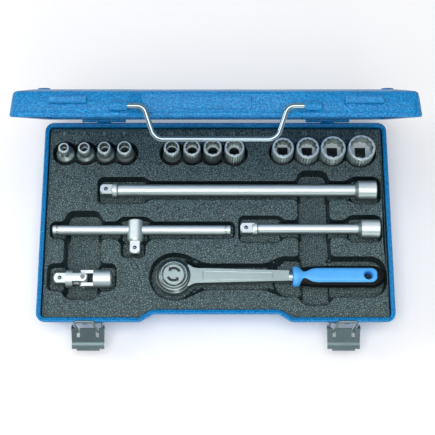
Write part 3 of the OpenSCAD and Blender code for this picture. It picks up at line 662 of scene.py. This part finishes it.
def tray_surface():
    """The tray's upper surface: flat land, rounded lips, walls, fillets and blended floors."""
    levels = [LIP_R, 0.75, 0.36, 0.1, 0.0, -DRAFT, -0.8, -1.3, -DRAFT - FOOT_R]
    pitch = 1.7
    points, faces = [], []
    flat, flat_ids, flat_edges = [], [], []

    def remember(ids):
        first = len(flat)
        for i in ids:
            flat.append(Vector(points[i][:2]))
            flat_ids.append(i)
        flat_edges.extend((first + k, first + (k + 1) % len(ids)) for k in range(len(ids)))

    for loop in lip_loops(1.0):
        line = moved_to(evenly(loop, 1.15), 0.0)
        rings = []
        for level in levels:
            ring = moved_to(line, level) if level else line
            height = floor_depth(ring[:, 0], ring[:, 1], lip_distance(ring[:, 0], ring[:, 1]))
            z = TRAY_TOP - drop(level, height + TRAY_TOP)
            base_id = len(points)
            points.extend(zip(ring[:, 0].tolist(), ring[:, 1].tolist(), z.tolist()))
            rings.append(list(range(base_id, base_id + len(ring))))
        n = len(line)
        for a, b in zip(rings, rings[1:]):
            faces += [(a[j], a[(j + 1) % n], b[(j + 1) % n], b[j]) for j in range(n)]
        remember(rings[0])
        remember(rings[-1])

    edge_rings = []
    for inset, z in ((0.0, -5.0), (0.0, -1.6), (0.2, -0.9), (0.7, -0.25), (EDGE_W, 0.0)):
        path = outline(CASE_CORNERS, TRAY_MARGIN + inset)
        base_id = len(points)
        points.extend((p.x, p.y, TRAY_TOP + z) for p in path)
        edge_rings.append(list(range(base_id, base_id + len(path))))
    for a, b in zip(edge_rings, edge_rings[1:]):
        n = len(a)
        faces += [(a[j], a[(j + 1) % n], b[(j + 1) % n], b[j]) for j in range(n)]
    remember(edge_rings[-1])

    xs = np.arange(-CASE_W / 2, CASE_W / 2, pitch)
    ys = np.arange(-CASE_D / 2, CASE_D / 2, pitch)
    gx, gy = (g.ravel() for g in np.meshgrid(xs, ys))
    lip = lip_distance(gx, gy)
    keep = lip < -DRAFT - FOOT_R - pitch / 3
    gx, gy, lip = gx[keep], gy[keep], lip[keep]
    gz = -floor_depth(gx, gy, lip)
    for x, y, z in zip(gx.tolist(), gy.tolist(), gz.tolist()):
        flat.append(Vector((x, y)))
        flat_ids.append(len(points))
        points.append((x, y, z))

    verts, _, tris, origins, _, _ = delaunay_2d_cdt(flat, flat_edges, [], 0, 1e-5)
    ids = [flat_ids[o[0]] if o else None for o in origins]
    middle = np.array([[sum(verts[i][k] for i in t) / 3 for k in (0, 1)] for t in tris])
    lip = lip_distance(middle[:, 0], middle[:, 1])
    rim_path = [tuple(p) for p in outline(CASE_CORNERS, TRAY_MARGIN + EDGE_W)]
    for t, value, centre in zip(tris, lip, middle):
        land = value > LIP_R and within(centre, rim_path)
        if (land or value < -DRAFT - FOOT_R) and all(ids[i] is not None for i in t):
            faces.append(tuple(ids[i] for i in t))
    return points, faces


def within(point, path):
    """Whether a point is inside a closed path."""
    x, y = point
    inside = False
    for (x0, y0), (x1, y1) in zip(path, path[1:] + path[:1]):
        if (y0 > y) != (y1 > y) and x < x0 + (x1 - x0) * (y - y0) / (y1 - y0):
            inside = not inside
    return inside


tray = piece("tool_tray", *tray_surface(), "case", TRAY, "tray_plastic", sharp=60)
solid = tray.modifiers.new("thickness", "SOLIDIFY")
solid.thickness = 0.8 * MM
solid.offset = -1
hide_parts("tray")


def numeral(text, x, y, z, size, body, name):
    """A raised number that is drawn on a flat surface, read from the front."""
    curve = bpy.data.curves.new(name, "FONT")
    curve.body = text
    curve.size = size * MM
    curve.extrude = 0.2 * MM
    curve.bevel_depth = 0.05 * MM
    curve.align_x = "CENTER"
    curve.align_y = "CENTER"
    obj = bpy.data.objects.new(name, curve)
    bpy.context.scene.collection.objects.link(obj)
    obj.location = (x * MM, y * MM, (RIM + z) * MM)
    bpy.context.view_layer.update()
    mesh = bpy.data.meshes.new_from_object(obj.evaluated_get(bpy.context.evaluated_depsgraph_get()))
    mesh.transform(obj.matrix_world)
    mesh.materials.clear()
    mesh.materials.append(PALE)
    result = bpy.data.objects.new(name, mesh)
    bpy.data.objects.remove(obj)
    bpy.context.scene.collection.objects.link(result)
    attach(result, body)
    return result


for size, (x, _) in SOCKETS.items():
    numeral(str(size), x - 1.7, 84.3, TRAY_TOP + 0.15, 5.2, "case", f"size_{size:02d}_numeral")


# ---------- ratchet grip ----------

GRIP_Z = -6.0
GRIP = AT_RIM @ Matrix.Translation((HEAD[0], HEAD[1], GRIP_Z))


def grip_ring(x, half_w, half_h, power, sides=44, low_h=None):
    """A rounded section across the grip: power 2 is an ellipse, more is squarer."""
    ring = []
    for i in range(sides):
        a = 2 * math.pi * i / sides
        c, s = math.cos(a), math.sin(a)
        h = half_h if s >= 0 or low_h is None else low_h
        ring.append((x, half_w * math.copysign(abs(c) ** (2 / power), c),
                     h * math.copysign(abs(s) ** (2 / power), s)))
    return ring


def ended(x_end, reach, half_w, half_h, power, steps=7):
    """Rings that round off the end of the grip over a length."""
    rings = []
    for k in range(1, steps + 1):
        a = math.pi / 2 * k / steps
        shrink = max(math.cos(a), 0.03)
        rings.append(grip_ring(x_end - reach + reach * math.sin(a), half_w * shrink,
                               half_h * (0.62 + 0.38 * shrink), power))
    return rings


blue_profile = [(105.0, 7.8, 7.8, 2.0), (105.4, 8.8, 8.8, 2.0), (106.4, 9.3, 9.3, 2.0),
                (108.4, 9.3, 9.3, 2.0), (110.4, 8.7, 8.9, 2.0), (112.2, 6.9, 8.1, 2.1),
                (114.0, 5.2, 7.4, 2.4), (116.0, 4.9, 7.2, 2.8), (118.5, 5.6, 7.2, 3.4),
                (122.0, 6.6, 7.3, 4.0), (127.0, 7.0, 7.5, 4.4), (150.0, 7.0, 7.6, 4.4),
                (174.0, 7.0, 7.5, 4.4)]
blue_rings = [grip_ring(*p) for p in blue_profile] + ended(181.0, 7.0, 7.0, 7.5, 4.4)
grip_core = piece("ratchet_grip_insert", *loft(blue_rings), "ratchet", BLUE, "grip_blue", GRIP)
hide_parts("ratchet_grip_core")
black_profile = [(110.6, 6.6, 6.2, 2.0), (111.0, 7.6, 6.6, 2.0), (113.0, 8.3, 6.8, 2.1),
                 (119.0, 9.0, 6.9, 2.3), (130.0, 9.5, 6.8, 2.5), (145.0, 9.7, 6.7, 2.6),
                 (160.0, 9.5, 6.7, 2.6), (176.3, 9.7, 6.7, 2.6)]
black_rings = [grip_ring(*p) for p in black_profile] + ended(186.0, 9.7, 9.7, 6.7, 2.6)
grip_sleeve = piece("ratchet_grip_cover", *loft(black_rings), "ratchet", BLACK, "grip_black", GRIP)
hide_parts("ratchet_grip_sleeve")


def lathe(x, y, profile, sides=40):
    """A round shape about an upright axis, from (radius, height) points, closed at both ends."""
    rings = [[(x + r * math.cos(2 * math.pi * i / sides), y + r * math.sin(2 * math.pi * i / sides), z)
              for i in range(sides)] for r, z in profile]
    return loft(rings)


HANG_X = 171.7
cut(grip_core, *lathe(HANG_X, 0, [(5.2, -9), (5.0, -7.5), (4.2, -6.6), (3.6, -5), (3.5, -2), (3.5, 2),
                                  (3.6, 5), (4.2, 6.6), (5.0, 7.5), (5.2, 9)]), GRIP)
cut(grip_sleeve, *lathe(HANG_X, 0, [(6.0, -9), (6.0, 9)]), GRIP)


# ---------- selector's marking ----------

def turning_arrow(r, half_w, start, end, tip, z, thick):
    """A curved arrow lying flat, as a thin plate."""
    steps = 14
    outer = arc(HEAD[0], HEAD[1], r + half_w, start, end, steps)
    inner = arc(HEAD[0], HEAD[1], r - half_w, end, start, steps)
    head = [arc(HEAD[0], HEAD[1], r + 2.1 * half_w, end, end, 1)[0],
            arc(HEAD[0], HEAD[1], r, end + tip, end + tip, 1)[0],
            arc(HEAD[0], HEAD[1], r - 2.1 * half_w, end, end, 1)[0]]
    path = outer + head + inner
    return loft([[(px, py, z) for px, py in path], [(px, py, z + thick) for px, py in path]])


selector_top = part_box("ratchet_selector")[1].z / MM - RIM - 0.4
arrows = joined(*[turning_arrow(5.6, 1.2, a, a + 95, 26, selector_top - 0.05, 0.14)
                  for a in (25, 205)])
piece("selector_arrows", *arrows, "selector", INK, "bright_chrome")


# ---------- ratchet head and shank ----------

head_low, head_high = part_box("ratchet_body")
HEAD_R = (head_high.y - head_low.y) / 2 / MM
HEAD_TOP = head_high.z / MM - RIM
disc_low, disc_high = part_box("ratchet_selector")
RING_IN = (disc_high.y - disc_low.y) / 2 / MM + 0.25
cone = [(RING_IN, HEAD_TOP - 0.2), (RING_IN, HEAD_TOP + 0.45), (RING_IN + 0.3, HEAD_TOP + 0.6),
        (RING_IN + 0.75, HEAD_TOP + 0.4), (RING_IN + 1.1, HEAD_TOP - 0.1), (HEAD_R - 3.2, -0.1),
        (HEAD_R - 2.3, -0.25), (HEAD_R - 0.8, -1.95), (HEAD_R - 1.1, -2.4)]
n_sides = 72
cone_rings = [[(HEAD[0] + r * math.cos(2 * math.pi * i / n_sides),
                HEAD[1] + r * math.sin(2 * math.pi * i / n_sides), z)
               for i in range(n_sides)] for r, z in cone]
piece("ratchet_head_ring", *loft(cone_rings, closed=True), "ratchet", DARK_STEEL, "steel")
root = [(HEAD_R - 3.5, -10.2), (HEAD_R - 0.9, -9.0), (HEAD_R + 0.6, -8.0), (HEAD_R + 2.4, -7.3),
        (HEAD_R + 4.6, -6.95), (HEAD_R + 7.0, -6.6)]
root += [(x, -y) for x, y in reversed(root)]
root_rings = [[(HEAD[0] + x - pull, HEAD[1] + y * (1 - pull / 30), z) for x, y in root]
              for z, pull in ((-8.9, 0.6), (-8.3, 0.0), (-2.1, 0.0), (-1.52, 0.5))]
piece("ratchet_shank_root", *loft(root_rings), "ratchet", FORGED, "satin_chrome")
SHANK_TOP = -1.5
panel_edge = [(HEAD[0] + 25.2, HEAD[1] - 4.5, 2.0), (HEAD[0] + 87.5, HEAD[1] - 3.2, 2.0),
              (HEAD[0] + 87.5, HEAD[1] + 3.2, 2.0), (HEAD[0] + 25.2, HEAD[1] + 4.5, 2.0)]
piece("shank_panel_edge", *bead(panel_edge, [(0.0, -0.1), (0.1, 0.1), (0.35, 0.18), (0.6, 0.1),
                                             (0.7, -0.1)],
                                lambda x, y, h: (x, y, SHANK_TOP + h)), "ratchet", FORGED,
      "satin_chrome")

# ---------- floor, light and camera ----------

floor_mat, floor_tree, floor_shader = new_material("pale_floor", Roughness=0.7)
tinted(floor_tree, floor_shader, noise(floor_tree, 300.0), (0.99, 0.96, 0.96),
       (0.995, 0.975, 0.975))
bpy.ops.mesh.primitive_plane_add(size=8.0, location=(0, 0, -0.0005))
floor = bpy.context.object
floor.name = "floor"
floor.data.materials.append(floor_mat)

scene = bpy.context.scene
scene.view_settings.view_transform = "Standard"
world = bpy.data.worlds.new("studio")
scene.world = world
world.use_nodes = True
sky = world.node_tree
where = add(sky, "ShaderNodeTexCoord")
split = add(sky, "ShaderNodeSeparateXYZ")
sky.links.new(where.outputs["Generated"], split.inputs[0])
band = add(sky, "ShaderNodeValToRGB")
band.color_ramp.elements[0].color = (0.62, 0.66, 0.68, 1)
band.color_ramp.elements[1].color = (0.5, 0.53, 0.54, 1)
for place, level in ((0.3, 0.55), (0.6, 0.42), (0.85, 0.48)):
    stop = band.color_ramp.elements.new(place)
    stop.color = (level * 0.94, level * 0.98, level, 1)
sky.links.new(split.outputs["Z"], band.inputs[0])
sky.links.new(band.outputs[0], sky.nodes["Background"].inputs["Color"])
sky.nodes["Background"].inputs["Strength"].default_value = 1.0


def softbox(name, place, size, power):
    """A square lamp that faces the middle of the case."""
    lamp = bpy.data.lights.new(name, "AREA")
    lamp.energy, lamp.size = power, size
    obj = bpy.data.objects.new(name, lamp)
    scene.collection.objects.link(obj)
    obj.location = place
    aim = Vector((0, 0, 0.05)) - Vector(place)
    obj.rotation_euler = aim.to_track_quat("-Z", "Y").to_euler()


softbox("key", (-0.1, -0.40, 1.5), 1.15, 15)
softbox("side", (-1.5, 0.1, 0.9), 0.6, 6)
softbox("front", (0.3, -1.7, 0.3), 0.6, 4)

camera = bpy.data.cameras.new("camera")
camera.lens, camera.sensor_width, camera.shift_x = 93.2, 36.0, 0.0039
camera.clip_start = 0.01
camera_obj = bpy.data.objects.new("camera", camera)
scene.collection.objects.link(camera_obj)
camera_obj.location = (0, -0.3215, 0.9901)
aim = Vector((0, 0.0014, 0.034)) - camera_obj.location
camera_obj.rotation_euler = aim.to_track_quat("-Z", "Y").to_euler()
scene.camera = camera_obj
